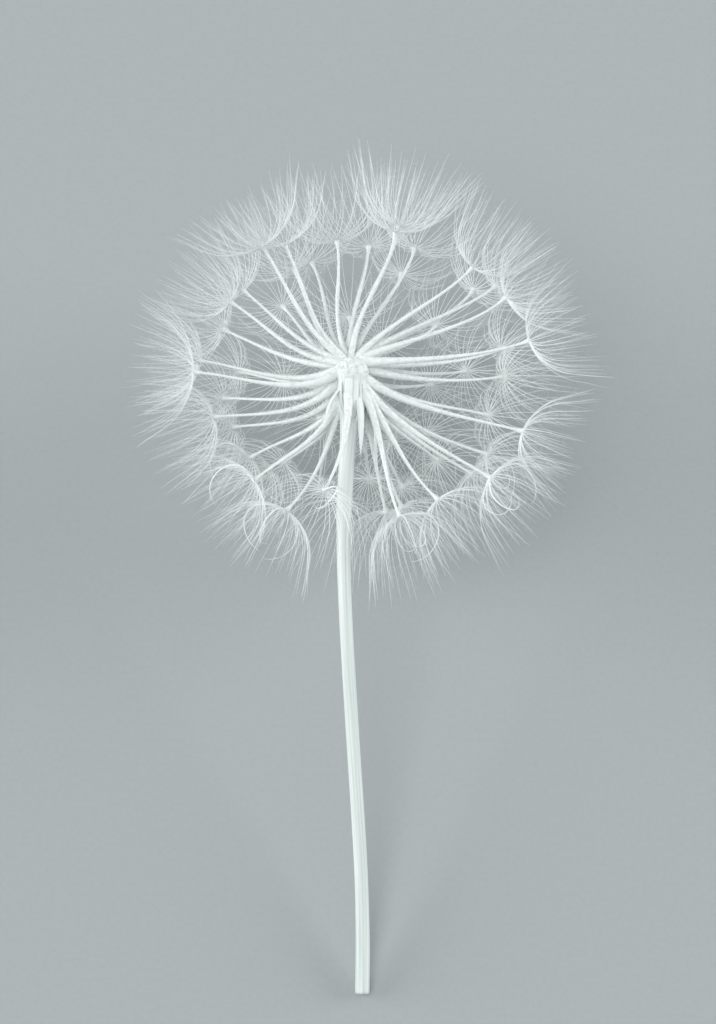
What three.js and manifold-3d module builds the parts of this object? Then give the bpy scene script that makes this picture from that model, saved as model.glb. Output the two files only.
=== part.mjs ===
// The ripe seed head of a dandelion-like flower on its cut stalk, lying on a level surface.
// Millimetres, +Z up. The surface is z = 0. The stalk runs towards -Y and the head is at +Y.
// The stalk's cut end and the feathery underside of the head carry the weight, so the stalk
// slopes up to the head. The origin is on the surface, under the middle of the object's box.
//
// The plant is worked out in the head frame first: x to the right, y up along the stalk and
// z away from the surface, with the middle of the receptacle at its origin. That frame then
// leans by the stalk's slope and rises to the head's height.
import * as THREE from "three";
import { mergeVertices } from "three/addons/utils/BufferGeometryUtils.js";
import Module from "manifold-3d";

const wasm = await Module();
wasm.setup();

const degrees = THREE.MathUtils.degToRad;

// ---- Driving dimensions -------------------------------------------------------------------

// The globe of parachutes. It is open where the seeds that face away from the surface have
// blown off, apart from those that the stalk shelters.
const SEEDS_BORNE = 96;
const BLOWN_ANGLE = degrees(80); // seeds within this angle of straight away are gone
const SHELTERED_POLAR = degrees(144.5); // the ones nearer to the stalk than this have stayed
const GLOBE_SHIFT = new THREE.Vector3(2.6, -0.3, 0); // globe's middle, from the receptacle's
const GLOBE_FLATNESS = 0.9; // the globe's height along the stalk over its width
const NODE_REACH = 35; // from the globe's middle to the disc where a parachute opens
const NODE_REACH_SPREAD = 0.06; // share by which single seeds stand shorter or longer
const BARE_POLAR = degrees(166); // no seed points nearer to the stalk than this
const HEAD_HEIGHT = 44; // receptacle's middle above the surface, with the underside pressed flat

// The spiral in which the seeds stand, and how far one strays from it.
const GOLDEN_TURN = degrees(137.50776);
const SPIRAL_START = degrees(17);
const SPIRAL_STRAY = degrees(9);
const SPIRAL_DICE = 6431;
const POLE_EASE = 0.35; // keeps a seed near the pole from straying all the way round it

// One seed: a spindle body on the cushion, drawn out into a thin beak. The topmost are slimmer.
const CUSHION_RADIUS = 3.4;
const CUSHION_LEAN = degrees(11); // the cushion leans to the left under the globe
const ROOT_SHARE = 0.62; // a root's polar angle on the cushion, as a share of its node's
const ROOT_DEPTH = 0.7; // how far a seed's root is sunk into the cushion
const BODY_RUN = 11; // length over which a seed keeps its first direction
const BEAK_RUN = 10; // length over which it comes in to its last direction
const BODY_DROOP = degrees(30); // how far a body beside the stalk starts below its node's angle
const DROOP_SPREAD = 0.35; // share by which single bodies droop more or less
const LOWEST_START = degrees(148); // no body starts nearer to the stalk than this
const BEAK_SHARE = 0.9; // the polar angle of a beak's end, as a share of its node's
const BODY_SWAY = degrees(8);
const BEAK_SWAY = degrees(6);
const HABIT_DICE = 4242;
const SEED_SIDES = 5;
// Share of the seed's length and radius there, from the root to the disc under the parachute.
const SEED_PROFILE = [
  [0, 0.45],
  [0.2, 0.86],
  [0.38, 0.68],
  [0.62, 0.42],
  [0.95, 0.33],
  [1, 0.65],
];
const BODY_END = 0.6; // share of the seed's length where its body has thinned to the beak
const SLIM_GIRTH = 0.62; // girth of the topmost bodies against the lowest ones'
const SLIM_POLAR = degrees(25); // seeds above this are slim
const FULL_POLAR = degrees(100); // seeds below this have their full girth
const DISC_HEIGHT = 0.5; // of the disc's side, from which the rays grow

// One parachute: rays that leave the disc flat, then curve up into a bowl. There are two to
// each side of the seed.
const AXIS_SHARE = 0.95; // a parachute's polar angle, as a share of its node's
const AXIS_SWAY = degrees(7);
const RAY_LENGTH = 19.2;
const RAY_LENGTH_SPREAD = 0.09; // share by which single parachutes are larger or smaller
const RAY_SPREAD_AT_ROOT = degrees(88); // between a ray and the parachute's axis
const RAY_SPREAD_AT_TIP = degrees(27);
const RAY_CURL_SHARE = 0.62; // share of the ray's length that does the curving
const RAY_TAPER = 0.5; // a ray's width at its bend, as a share of that at its root
const RAY_MARCH = 20; // steps in which a ray's path is worked out
const RAY_BEND = 7; // step at which the solid ray bends
const RAY_SETTLE = 3; // a falling ray turns level within about this height
const RAY_PRESS = 0.25; // how far under the surface it would settle: the surface flattens it

// The stalk's middle line in the head frame, from the receptacle's underside to the cut.
const STALK_LINE = [
  [0, -2.2],
  [0, -5],
  [-0.6, -12],
  [-1.45, -25],
  [-1.8, -35],
  [-1.5, -50],
  [-0.1, -75],
  [1.8, -105],
  [2.3, -122],
  [2.2, -134],
];
// Share of the stalk's length and radius there: swollen below the head, then thin.
const STALK_PROFILE = [
  [0, 2.25],
  [0.015, 2.35],
  [0.045, 2.2],
  [0.075, 1.92],
  [0.125, 1.65],
  [0.18, 1.74],
  [0.225, 1.6],
  [0.3, 1.5],
  [0.37, 1.43],
  [0.6, 1.43],
  [0.85, 1.46],
  [0.94, 1.55],
  [1, 1.56],
];
const STALK_SIDES = 12;
const CUT_SINK = 0.22; // the cut end's lower rim is worn flat by this much

// The bracts that cupped the bud and now hang back along the stalk: azimuth round the stalk,
// angle from the stalk, and length.
const BRACTS = [
  [degrees(62), degrees(6), 16],
  [degrees(148), degrees(27), 12],
  [degrees(10), degrees(9), 21],
  [degrees(338), degrees(17), 25],
  [degrees(268), degrees(21), 27],
  [degrees(226), degrees(20), 26],
];
// Share of a bract's length and of its half width there: widest at a third.
const BRACT_PROFILE = [
  [0, 0.75],
  [0.12, 0.95],
  [0.35, 1],
  [0.6, 0.78],
  [0.82, 0.45],
  [1, 0],
];
const BRACT_HALF_WIDTH = 0.95;
const BRACT_FLATNESS = 0.42; // thickness over width
const BRACT_SIDES = 4;
const BRACT_BOW = 1.2; // how far a bract bows out between its ends
const BRACT_ROOT = new THREE.Vector2(2.1, -2.9); // from the stalk's axis and below the middle

const GAP = 0.3; // clear space between the stalk's top and the cushion

// ---- Frames -------------------------------------------------------------------------------

const cutDistance = -STALK_LINE.at(-1)[1];
const cutRadius = STALK_PROFILE.at(-1)[1];
const slope =
  Math.asin((HEAD_HEIGHT + CUT_SINK) / Math.hypot(cutDistance, cutRadius)) -
  Math.atan2(cutRadius, cutDistance);

const EAST = new THREE.Vector3(1, 0, 0);
const headMiddle = new THREE.Vector3(0, 0, HEAD_HEIGHT);

// A direction in the head frame, as it lies: polar from the head's top, azimuth from its right.
function direction(polar, azimuth, lean = 0) {
  return new THREE.Vector3(
    Math.sin(polar) * Math.cos(azimuth),
    Math.cos(polar),
    Math.sin(polar) * Math.sin(azimuth),
  )
    .applyAxisAngle(new THREE.Vector3(0, 0, 1), lean)
    .applyAxisAngle(EAST, slope);
}

// A point in the head frame, as it lies.
function place(x, y, z) {
  return new THREE.Vector3(x, y, z)
    .applyAxisAngle(EAST, slope)
    .add(headMiddle);
}

// A seeded run of numbers from -1 to 1.
function makeDice(seed) {
  let state = seed;
  return () => {
    state = (1664525 * state + 1013904223) % 4294967296;
    return (2 * state) / 4294967296 - 1;
  };
}

// ---- Shapes -------------------------------------------------------------------------------

// A closed rod through the points, with a radius at each: a cylinder whose rows are moved onto
// the path. It ends in a point where the last radius is 0. Flatness makes it a strap, wide along
// across. Nothing reaches under the surface.
function rod(points, radii, sides, across, flatness) {
  const rows = points.length - 1;
  const tip = radii.at(-1) === 0 ? 0 : 1;
  const shape = new THREE.CylinderGeometry(tip, 1, 1, sides, rows);
  const frames = framesAlong(points, across);
  const corners = shape.attributes.position;
  const corner = new THREE.Vector3();
  for (let i = 0; i < corners.count; i++) {
    corner.fromBufferAttribute(corners, i);
    const row = Math.round((corner.y + 0.5) * rows);
    const { wide, thick } = frames[row];
    const turn = new THREE.Vector2(corner.x, corner.z).normalize();
    corner
      .copy(points[row])
      .addScaledVector(wide, turn.x * radii[row])
      .addScaledVector(thick, turn.y * radii[row] * flatness);
    corners.setXYZ(i, corner.x, corner.y, Math.max(corner.z, 0));
  }
  return solidOf(shape);
}

// Two directions across the path at each of its points, the wide one kept near across.
function framesAlong(points, across) {
  return points.map((point, i) => {
    const before = points[Math.max(i - 1, 0)];
    const after = points[Math.min(i + 1, points.length - 1)];
    const along = after.clone().sub(before).normalize();
    const wide = across.clone().projectOnPlane(along).normalize();
    return { wide, thick: wide.clone().cross(along) };
  });
}

// A closed geometry as a solid that can be joined.
function solidOf(geometry) {
  geometry.deleteAttribute("normal");
  geometry.deleteAttribute("uv");
  const merged = mergeVertices(geometry, 1e-4);
  return new wasm.Manifold(
    new wasm.Mesh({
      numProp: 3,
      vertProperties: new Float32Array(merged.attributes.position.array),
      triVerts: new Uint32Array(merged.index.array),
    }),
  );
}

// Several solids joined into one named mesh.
function joined(name, solids, material) {
  const { vertProperties, triVerts } = wasm.Manifold.union(solids).getMesh();
  const geometry = new THREE.BufferGeometry();
  geometry.setAttribute("position", new THREE.BufferAttribute(vertProperties, 3));
  geometry.setIndex(new THREE.BufferAttribute(triVerts, 1));
  geometry.computeVertexNormals();
  const mesh = new THREE.Mesh(geometry, material);
  mesh.name = name;
  return mesh;
}

// ---- Stalk --------------------------------------------------------------------------------

function stalkSolid() {
  const line = new THREE.CatmullRomCurve3(STALK_LINE.map(([x, y]) => place(x, y, 0)));
  const points = STALK_PROFILE.map(([share]) => line.getPointAt(share));
  const radii = STALK_PROFILE.map(([, radius]) => radius);
  return rod(points, radii, STALK_SIDES, EAST, 1);
}

function bractSolid([azimuth, hang, length]) {
  const points = BRACT_PROFILE.map(([share]) => {
    const run = share * length;
    const bow = BRACT_BOW * Math.sin(share * Math.PI);
    const out = BRACT_ROOT.x + run * Math.sin(hang) + bow;
    const down = BRACT_ROOT.y - run * Math.cos(hang);
    return place(out * Math.cos(azimuth), down, out * Math.sin(azimuth));
  });
  const radii = BRACT_PROFILE.map(([, width]) => width * BRACT_HALF_WIDTH);
  const across = direction(Math.PI / 2, azimuth + Math.PI / 2);
  return rod(points, radii, BRACT_SIDES, across, BRACT_FLATNESS);
}

// ---- Seed head ----------------------------------------------------------------------------

// A seed is gone where its disc would face away from the surface, out of the stalk's shelter.
function hasBlownOff(polar, azimuth) {
  const facing = Math.acos(Math.sin(polar) * Math.sin(azimuth));
  return facing < BLOWN_ANGLE && polar < SHELTERED_POLAR;
}

// Where a disc stands on the globe, which is a little flat along the stalk.
function globePlace(polar, azimuth, reach) {
  return place(
    GLOBE_SHIFT.x + reach * Math.sin(polar) * Math.cos(azimuth),
    GLOBE_SHIFT.y + reach * Math.cos(polar) * GLOBE_FLATNESS,
    GLOBE_SHIFT.z + reach * Math.sin(polar) * Math.sin(azimuth),
  );
}

// Each seed's middle line from its root to its disc, its parachute's axis and ray length, how
// stout its body is and how it is turned about itself.
function seedPlans() {
  const stray = makeDice(SPIRAL_DICE);
  const habit = makeDice(HABIT_DICE);
  const borne = Array.from({ length: SEEDS_BORNE }, (_, i) => {
    const share = (i + 0.5) / SEEDS_BORNE;
    const ringPolar = Math.acos(1 - share * (1 - Math.cos(BARE_POLAR)));
    const ringWidth = Math.max(Math.sin(ringPolar), POLE_EASE);
    const polar = ringPolar + SPIRAL_STRAY * stray();
    const azimuth = SPIRAL_START - i * GOLDEN_TURN + (SPIRAL_STRAY * stray()) / ringWidth;
    const reach = NODE_REACH * (1 + NODE_REACH_SPREAD * stray());
    const disc = globePlace(polar, azimuth, reach);
    const root = direction(ROOT_SHARE * polar, azimuth, CUSHION_LEAN)
      .multiplyScalar(CUSHION_RADIUS - ROOT_DEPTH)
      .add(headMiddle);
    const droop = BODY_DROOP * Math.sin(polar / 2) * (1 + DROOP_SPREAD * habit());
    const start = direction(
      Math.min(polar + droop, LOWEST_START),
      azimuth + BODY_SWAY * habit(),
      CUSHION_LEAN,
    );
    const end = direction(
      BEAK_SHARE * polar + BEAK_SWAY * habit(),
      azimuth + BEAK_SWAY * habit(),
    );
    const line = new THREE.CubicBezierCurve3(
      root,
      start.multiplyScalar(BODY_RUN).add(root),
      end.multiplyScalar(-BEAK_RUN).add(disc),
      disc,
    );
    const axis = direction(
      AXIS_SHARE * polar + AXIS_SWAY * habit(),
      azimuth + (AXIS_SWAY * habit()) / ringWidth,
    );
    const stoutness = THREE.MathUtils.smoothstep(polar, SLIM_POLAR, FULL_POLAR);
    return {
      line,
      axis,
      girth: THREE.MathUtils.lerp(SLIM_GIRTH, 1, stoutness),
      rayLength: RAY_LENGTH * (1 + RAY_LENGTH_SPREAD * habit()),
      turn: Math.PI * habit(),
      gone: hasBlownOff(polar, azimuth),
    };
  });
  return borne.filter(({ gone }) => !gone);
}

// The path of one ray, from its place on the disc's side: it leaves along heading, square to the
// parachute's axis, and curves up around it. Near the surface it turns level and goes on.
function rayPath({ axis, rayLength }, root, heading) {
  const step = rayLength / RAY_MARCH;
  const points = [root];
  for (let i = 0; i < RAY_MARCH; i++) {
    const curl = Math.min((i + 0.5) / RAY_MARCH / RAY_CURL_SHARE, 1);
    const spread = THREE.MathUtils.lerp(RAY_SPREAD_AT_ROOT, RAY_SPREAD_AT_TIP, curl);
    const onward = axis
      .clone()
      .multiplyScalar(Math.cos(spread))
      .addScaledVector(heading, Math.sin(spread));
    const last = points.at(-1);
    const steepest = Math.min((last.z + RAY_PRESS) / RAY_SETTLE, 1);
    if (onward.z < -steepest) {
      onward.setZ(0).setLength(Math.sqrt(1 - steepest ** 2)).setZ(-steepest);
    }
    points.push(last.clone().addScaledVector(onward, step));
  }
  return points;
}

// One seed as a single closed skin. Rings of corners run along its body and beak to its disc,
// each turned by half a side, so the faces between two rings are a zigzag of triangles. On the
// disc's side, each of these triangles is drawn out into a ray.
function seedSolid(plan) {
  const corners = [];
  const faces = [];
  const stations = SEED_PROFILE.map(([share, radius]) => ({
    middle: plan.line.getPointAt(share),
    along: plan.line.getTangentAt(share),
    radius: radius * (share < BODY_END ? plan.girth : 1),
  }));
  const disc = stations.at(-1);
  disc.along = plan.axis;
  stations.push({
    ...disc,
    middle: disc.middle.clone().addScaledVector(plan.axis, DISC_HEIGHT),
  });
  const rings = stations.map(({ middle, along, radius }, row) => {
    const wide = new THREE.Vector3(along.y, -along.x, 0).normalize();
    const thick = along.clone().cross(wide);
    return Array.from({ length: SEED_SIDES }, (_, k) => {
      const turn = plan.turn + ((k + row / 2) * 2 * Math.PI) / SEED_SIDES;
      const corner = middle
        .clone()
        .addScaledVector(wide, radius * Math.cos(turn))
        .addScaledVector(thick, radius * Math.sin(turn));
      return corners.push(corner) - 1;
    });
  });
  const top = rings.pop();
  for (let i = 1; i < rings.length; i++) faces.push(...zigzag(rings[i - 1], rings[i]));
  faces.push(...lid(rings[0]).map((face) => face.reverse()), ...lid(top));
  for (const root of zigzag(rings.at(-1), top)) {
    const outline = root.map((corner) => corners[corner]);
    const middle = new THREE.Vector3();
    outline.forEach((corner) => middle.addScaledVector(corner, 1 / 3));
    const heading = middle.clone().sub(disc.middle).projectOnPlane(plan.axis).normalize();
    const path = rayPath(plan, middle, heading);
    const bend = path[RAY_BEND];
    const onward = path[RAY_BEND + 1].clone().sub(path[RAY_BEND - 1]).normalize();
    const swing = new THREE.Quaternion().setFromUnitVectors(heading, onward);
    const knee = outline.map((corner) => {
      const offset = corner.clone().sub(middle).multiplyScalar(RAY_TAPER);
      return corners.push(offset.applyQuaternion(swing).add(bend)) - 1;
    });
    const tip = corners.push(path.at(-1)) - 1;
    for (let k = 0; k < 3; k++) {
      const next = (k + 1) % 3;
      faces.push(
        [root[k], root[next], knee[next]],
        [root[k], knee[next], knee[k]],
        [knee[k], knee[next], tip],
      );
    }
  }
  const shape = new THREE.BufferGeometry().setFromPoints(
    corners.map((corner) => corner.setZ(Math.max(corner.z, 0))),
  );
  shape.setIndex(faces.flat());
  return solidOf(shape);
}

// The triangles between two rings, the high one half a side further round than the low one.
function zigzag(low, high) {
  return low.flatMap((corner, k) => {
    const next = (k + 1) % low.length;
    return [
      [corner, low[next], high[k]],
      [low[next], high[next], high[k]],
    ];
  });
}

// The triangles that close a ring.
function lid(ring) {
  return ring.slice(2).map((corner, k) => [ring[0], ring[k + 1], corner]);
}

// The cushion that the seeds stand on, flat below, where it sits on the stalk's top.
function cushionSolid() {
  const flat = STALK_LINE[0][1] + GAP;
  const outline = new THREE.Path();
  const rim = Math.sqrt(CUSHION_RADIUS ** 2 - flat ** 2);
  outline.moveTo(0, flat).lineTo(rim, flat);
  outline.absarc(0, 0, CUSHION_RADIUS, Math.atan2(flat, rim), Math.PI / 2, false);
  const profile = outline.getPoints(4);
  profile[profile.length - 1].x = 0;
  const shape = new THREE.LatheGeometry(profile, 12);
  shape.rotateX(slope);
  shape.translate(headMiddle.x, headMiddle.y, headMiddle.z);
  return solidOf(shape);
}

// ---- The plant ----------------------------------------------------------------------------

const stalkFlesh = new THREE.MeshStandardMaterial({
  color: 0xdce6e2,
  roughness: 0.5,
  metalness: 0,
});
const seedSilk = new THREE.MeshStandardMaterial({
  color: 0xeef3f1,
  roughness: 0.6,
  metalness: 0,
});

const stalk = joined("stalk", [stalkSolid(), ...BRACTS.map(bractSolid)], stalkFlesh);
const seeds = seedPlans().map(seedSolid);
const seedHead = joined("seed_head", [cushionSolid(), ...seeds], seedSilk);

const plant = new THREE.Group();
plant.add(stalk, seedHead);
const middle = new THREE.Box3().setFromObject(plant).getCenter(new THREE.Vector3());
plant.position.set(-middle.x, -middle.y, 0);

export default plant;
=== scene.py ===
import math
from dataclasses import dataclass

import bmesh
import bpy
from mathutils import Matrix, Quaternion, Vector, noise


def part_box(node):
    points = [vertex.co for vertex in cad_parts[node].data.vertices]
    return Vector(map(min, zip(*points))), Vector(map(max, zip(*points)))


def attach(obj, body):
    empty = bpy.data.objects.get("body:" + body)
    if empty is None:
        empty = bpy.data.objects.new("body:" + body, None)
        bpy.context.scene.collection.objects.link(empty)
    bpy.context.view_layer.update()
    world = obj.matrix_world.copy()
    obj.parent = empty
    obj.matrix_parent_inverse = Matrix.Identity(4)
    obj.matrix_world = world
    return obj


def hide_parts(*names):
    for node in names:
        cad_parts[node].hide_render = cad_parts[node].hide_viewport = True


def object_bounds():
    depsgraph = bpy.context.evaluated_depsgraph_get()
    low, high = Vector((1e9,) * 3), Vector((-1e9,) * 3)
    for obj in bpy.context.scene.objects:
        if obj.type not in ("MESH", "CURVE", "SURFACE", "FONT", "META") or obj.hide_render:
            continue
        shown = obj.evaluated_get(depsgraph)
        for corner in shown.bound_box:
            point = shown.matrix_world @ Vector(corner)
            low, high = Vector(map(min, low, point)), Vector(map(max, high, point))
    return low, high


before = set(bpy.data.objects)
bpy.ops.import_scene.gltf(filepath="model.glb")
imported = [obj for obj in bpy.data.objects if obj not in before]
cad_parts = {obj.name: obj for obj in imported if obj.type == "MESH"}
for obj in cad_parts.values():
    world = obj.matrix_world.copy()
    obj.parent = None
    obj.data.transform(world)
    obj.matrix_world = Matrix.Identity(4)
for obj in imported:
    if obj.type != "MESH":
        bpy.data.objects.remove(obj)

CAD_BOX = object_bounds()
MM = 0.001

# ---- Sizes, in millimetres, the same as the solids' ----

# The globe of parachutes. It is open where the seeds that face away from the floor have blown
# off, apart from those that the stalk shelters.
SEEDS_BORNE = 96
BLOWN_ANGLE = math.radians(80)  # seeds within this angle of straight away from the floor are gone
SHELTERED_POLAR = math.radians(144.5)  # the ones nearer to the stalk than this have stayed
GLOBE_SHIFT = Vector((2.6, -0.3, 0))  # globe's middle, from the receptacle's
GLOBE_FLATNESS = 0.9  # the globe's height along the stalk over its width
NODE_REACH = 35  # from the globe's middle to the disc where a parachute opens
NODE_REACH_SPREAD = 0.06  # share by which single seeds stand shorter or longer
BARE_POLAR = math.radians(166)  # no seed points nearer to the stalk than this
HEAD_HEIGHT = 44  # receptacle's middle above the floor

# The spiral in which the seeds stand, and how far one strays from it.
GOLDEN_TURN = math.radians(137.50776)
SPIRAL_START = math.radians(17)
SPIRAL_STRAY = math.radians(9)
SPIRAL_DICE = 6431
POLE_EASE = 0.35  # keeps a seed near the pole from straying all the way round it

# One seed: a spindle body on the cushion, drawn out into a thin beak. The topmost are slimmer.
CUSHION_RADIUS = 3.4
CUSHION_LEAN = math.radians(11)  # the cushion leans to the left under the globe
ROOT_SHARE = 0.62  # a root's polar angle on the cushion, as a share of its disc's
ROOT_DEPTH = 0.7  # how far a seed's root is sunk into the cushion
BODY_RUN = 11  # length over which a seed keeps its first direction
BEAK_RUN = 10  # length over which it comes in to its last direction
BODY_DROOP = math.radians(30)  # how far below its disc's angle a body by the stalk starts
DROOP_SPREAD = 0.35  # share by which single bodies droop more or less
LOWEST_START = math.radians(148)  # no solid body starts nearer to the stalk than this
BEAK_SHARE = 0.9  # the polar angle of a beak's end, as a share of its disc's
BODY_SWAY = math.radians(8)
BEAK_SWAY = math.radians(6)
HABIT_DICE = 4242
SLIM_GIRTH = 0.62  # girth of the topmost bodies against the lowest ones'
SLIM_POLAR = math.radians(25)  # seeds above this are slim
FULL_POLAR = math.radians(100)  # seeds below this have their full girth

# One parachute: rays that leave the disc flat, then curve up into a bowl.
AXIS_SHARE = 0.95  # a parachute's polar angle, as a share of its disc's
AXIS_SWAY = math.radians(7)
RAY_LENGTH = 19.2
RAY_LENGTH_SPREAD = 0.09  # share by which single parachutes are larger or smaller
RAY_SPREAD_AT_ROOT = math.radians(88)  # between a ray and the parachute's axis
RAY_SPREAD_AT_TIP = math.radians(27)
RAY_CURL_SHARE = 0.62  # share of the ray's length that does the curving
RAY_SETTLE = 3  # a falling ray turns level within about this height
RAY_PRESS = 0.25  # how far under the floor it would settle: the floor flattens it

# The stalk's middle line in the head frame, from the receptacle's underside to the cut.
STALK_LINE = [
    (0, -2.2),
    (0, -5),
    (-0.6, -12),
    (-1.45, -25),
    (-1.8, -35),
    (-1.5, -50),
    (-0.1, -75),
    (1.8, -105),
    (2.3, -122),
    (2.2, -134),
]
# Share of the stalk's length and radius there: swollen below the head, then thin.
STALK_PROFILE = [
    (0, 2.25),
    (0.015, 2.35),
    (0.045, 2.2),
    (0.075, 1.92),
    (0.125, 1.65),
    (0.18, 1.74),
    (0.225, 1.6),
    (0.3, 1.5),
    (0.37, 1.43),
    (0.6, 1.43),
    (0.85, 1.46),
    (0.94, 1.55),
    (1, 1.56),
]
CUT_SINK = 0.22  # the cut end's lower rim is worn flat by this much

# The bracts that cupped the bud and now hang back along the stalk: azimuth round the stalk,
# angle from the stalk, and length.
BRACTS = [
    (math.radians(62), math.radians(6), 16),
    (math.radians(148), math.radians(27), 12),
    (math.radians(10), math.radians(9), 21),
    (math.radians(338), math.radians(17), 25),
    (math.radians(268), math.radians(21), 27),
    (math.radians(226), math.radians(20), 26),
]
# Share of a bract's length and of its half width there: widest at a third.
BRACT_PROFILE = [(0, 0.75), (0.12, 0.95), (0.35, 1), (0.6, 0.78), (0.82, 0.45), (1, 0)]
BRACT_HALF_WIDTH = 0.95
BRACT_BOW = 1.2  # how far a bract bows out between its ends
BRACT_ROOT = (2.1, -2.9)  # from the stalk's axis and below the middle

# ---- Sizes of what only shows here ----

# Share of a seed's length and its radius there: a body, a thin beak and a flaring disc.
SEED_PROFILE = [
    (0, 1.0),
    (0.03, 1.2),
    (0.08, 1.18),
    (0.14, 1.02),
    (0.2, 0.88),
    (0.32, 0.7),
    (0.45, 0.56),
    (0.6, 0.42),
    (0.75, 0.33),
    (0.93, 0.29),
    (0.965, 0.38),
    (0.985, 0.6),
    (1, 0.68),
]
BODY_END = 0.6  # share of the length where the body has thinned to the beak
BODY_FADE = 0.25  # share over which a slim body's girth turns into the beak's
ROOT_SINK = 3.2  # how far down the stalk's collar the lowest seeds are rooted
HUG_DEPTH = 0.7  # and how much deeper in the cushion than the others
BODY_HUG = math.radians(10)  # and how much nearer to the stalk they start than the solids' do
HUG_POLARS = (math.radians(60), math.radians(145))  # where that begins and where it is full
DISC_DOME = [(0.25, 0.74), (0.45, 0.64), (0.6, 0.42), (0.66, 0.06)]  # height over the disc, radius
SEED_STEPS = 36
SEED_RIBS = 8
SEED_GROOVE = 0.85  # radius in a groove, as a share of that on a rib
SCALES_PER_M2 = 2.2e6
SCALE_LENGTH = 0.42
SCALE_SPREAD = (0.5, 1.1)  # shares of that length
SCALE_GIRTH = 0.3  # radius at its root, as a share of its own length
SCALE_LEAN = 0.55  # how far a scale stands out for each 1 along the seed
SCALY_SHARE = 0.5  # of the seed's length, from its root
SCALE_DICE = (5, 6)  # for the scales' places and lengths

RAY_COUNT = 32
RAY_STEPS = 16
# Share of a ray's length and its radius there.
RAY_GIRTH = [(0, 0.14), (0.06, 0.1), (0.3, 0.074), (0.6, 0.046), (0.85, 0.026), (1, 0.012)]
RAY_LENGTH_STRAY = 0.09  # share by which single rays are shorter or longer
BOWL_SPREAD_STRAY = math.radians(6)  # by which whole bowls stand wider or narrower
BOWL_CURL_STRAY = 0.15  # share by which whole bowls curve later or earlier
RAY_TIP_STRAY = math.radians(6)
WILD_SHARE = 0.1  # of the rays, which stray further
WILD_STRAY = math.radians(25)
RAY_CURL_STRAY = 0.08
RAY_DRIFT = math.radians(8)  # sideways, by the tip
RAY_WAVE = math.radians(4)
RAY_WAVES = 2  # along a ray, one more or one less
RAY_CEILING = 1.5  # how far a ray may rise over the solids
RAY_START = 0.35  # from the parachute's axis, inside the disc
RAY_ROWS = (0.12, 0.3)  # height of the two rows of rays over the disc
RAY_SWAY = math.radians(3)
RAY_DICE = 77
MIDDLE_TONE = 0.5  # tones run from 0 to 1
CURLED_SHARE = 0.05  # of the rays of the lowest seeds
CURLED_POLAR = math.radians(118)
CURLED_GIRTH = 2.8  # a curled ray is stouter than the others
HOOK_TURN = math.radians(145)  # that it curls over
HOOK_STRAY = math.radians(45)
HOOK_START = 0.25  # share of the ray's length where the hook starts
HOOK_RATE = 1.4  # hooks' turns in a whole length of the ray

HAIR_SPACING = 0.2
HAIR_LENGTH = 3.6
HAIR_GIRTH = 0.0065
HAIR_SLANT = (1.3, 3.6)  # how far a hair leans aside for each 1 along its ray
HAIR_LIFT = 0.7  # the same, up or down
HAIR_SPREAD = (0.45, 1.15)  # shares of its length that a single hair has
HAIR_RISE = (0.06, 0.42)  # shares of the ray between which its hairs grow to full length
HAIR_FALL = (0.5, 1.0)  # and between which they grow shorter again
HAIR_TIP_SHARE = 0.15  # of the full length, at the ray's tip
HAIR_END = 0.9  # share of the ray that has hairs
HAIR_FLOOR_SHARE = 0.9  # share of its height over the floor that a hair may fall
HAIR_DICE = (5.0, 11.0, 23.0)  # added to the seed for slant, lift and length
HAIR_PIECES = 6

# ---- The frame of the plant ----

# The head frame stands upright: x to the right, y up along the stalk and z away from the floor,
# from the middle of the receptacle. It leans by the stalk's slope to lie down.
CUT_DISTANCE = -STALK_LINE[-1][1]
CUT_RADIUS = STALK_PROFILE[-1][1]
SLOPE = math.asin((HEAD_HEIGHT + CUT_SINK) / math.hypot(CUT_DISTANCE, CUT_RADIUS)) - math.atan2(
    CUT_RADIUS, CUT_DISTANCE
)
LYING = Quaternion((1, 0, 0), SLOPE)


def head_direction(polar, azimuth, lean=0.0):
    """A direction as the plant lies: polar from the head's top, azimuth from its right."""
    out = math.sin(polar)
    upright = Vector((out * math.cos(azimuth), math.cos(polar), out * math.sin(azimuth)))
    return LYING @ (Quaternion((0, 0, 1), lean) @ upright)


def plant_shift():
    """From the receptacle's foot on the floor to the frame's origin. The solid stalk shows it:
    its leftmost bract's tip and its top rim are where the rules put them."""
    low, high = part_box("stalk")
    tip = min(
        (BRACT_ROOT[0] + length * math.sin(hang)) * math.cos(azimuth)
        for azimuth, hang, length in BRACTS
    )
    rim = LYING @ Vector((0, STALK_LINE[0][1], -STALK_PROFILE[0][1]))
    return Vector((low.x / MM - tip, high.y / MM - rim.y, 0))


SHIFT = plant_shift()


def place(x, y, z):
    """A point of the upright head frame, as it lies, in the frame's millimetres."""
    return LYING @ Vector((x, y, z)) + Vector((0, 0, HEAD_HEIGHT)) + SHIFT


HEAD_MIDDLE = place(0, 0, 0)
CEILING = CAD_BOX[1][2] / MM + RAY_CEILING


DICE_FACTOR = 1664525
DICE_STEP = 1013904223
DICE_RANGE = 2**32


def dice(seed):
    """A seeded run of numbers from -1 to 1, the same as the solids'."""
    state = seed
    while True:
        state = (DICE_FACTOR * state + DICE_STEP) % DICE_RANGE
        yield 2 * state / DICE_RANGE - 1


def value_at(table, at):
    """The value at a place along a list of (place, value), straight between its entries."""
    for (start, low), (end, high) in zip(table, table[1:]):
        if at <= end:
            return low + (high - low) * (at - start) / (end - start)
    return table[-1][1]


def smoothstep(value, low, high):
    """0 up to low, 1 from high on, with a smooth rise between them."""
    share = min(max((value - low) / (high - low), 0), 1)
    return share * share * (3 - 2 * share)


# ---- Where the seeds stand ----


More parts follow.
